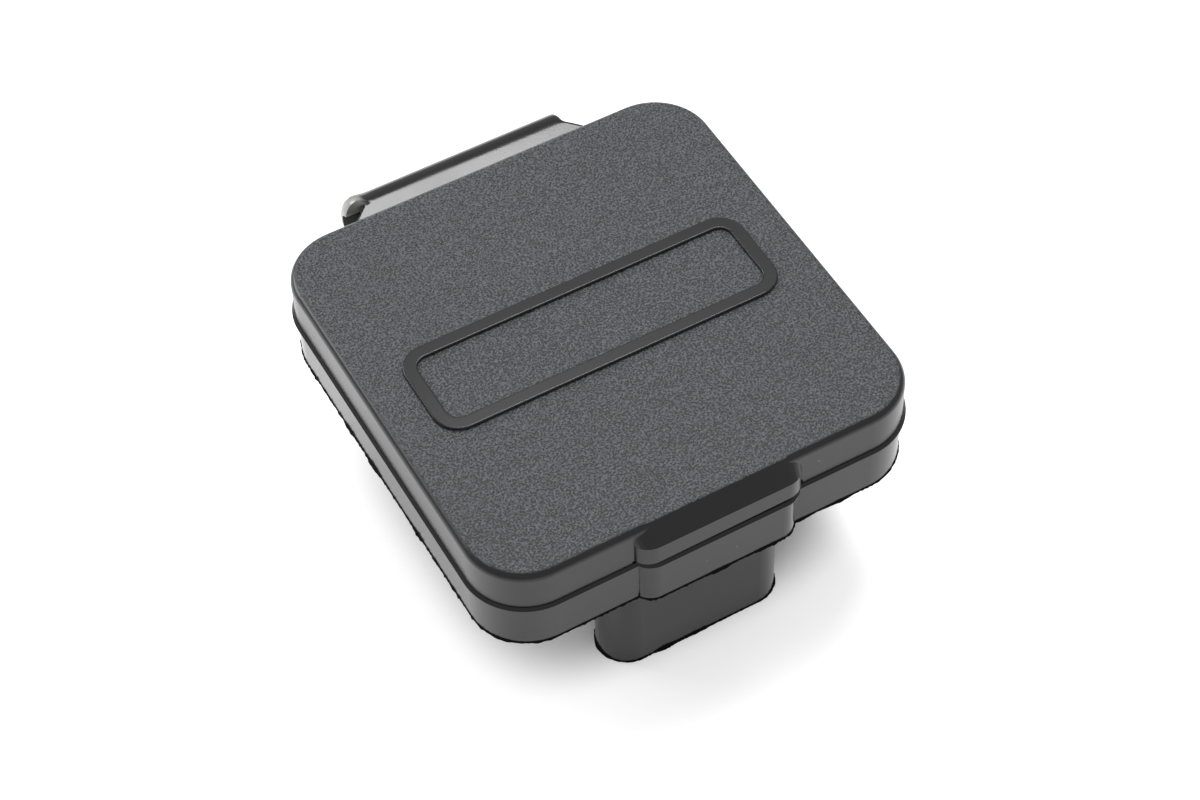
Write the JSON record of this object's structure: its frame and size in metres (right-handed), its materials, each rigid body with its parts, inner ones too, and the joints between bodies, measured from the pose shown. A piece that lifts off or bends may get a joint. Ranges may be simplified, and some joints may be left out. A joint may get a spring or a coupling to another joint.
{
  "type": "hitch receiver cover",
  "caption": "Black rubber cover for a tow bar receiver, with a grained lid hinged on a looped strap over a base frame with gripping tongues.",
  "frame": {"origin": "on the receiver's axis, in the plane of the tongue tips, which the cover stands on", "axes": "+Z out of the receiver, towards the lid's top; +Y towards the hinge strap, with the thumb tab at -Y; +X along the strap"},
  "size_m": [0.1182, 0.1369, 0.0668],
  "materials": {
    "black_rubber": "smooth, satin",
    "grained_rubber": "fine leather grain on top, smooth sides"
  },
  "bodies": {
    "base": {"base_frame": "black_rubber", "hinge_strap": "black_rubber"},
    "lid": {"lid": "grained_rubber"}
  },
  "joints": [
    {"name": "lid_hinge", "type": "hinge", "parent": "base", "child": "lid", "pos_m": [0, 0.0724, 0.05415], "axis": [-1, 0, 0], "range_deg": [0, 180], "deforming": ["hinge_strap"]}
  ]
}
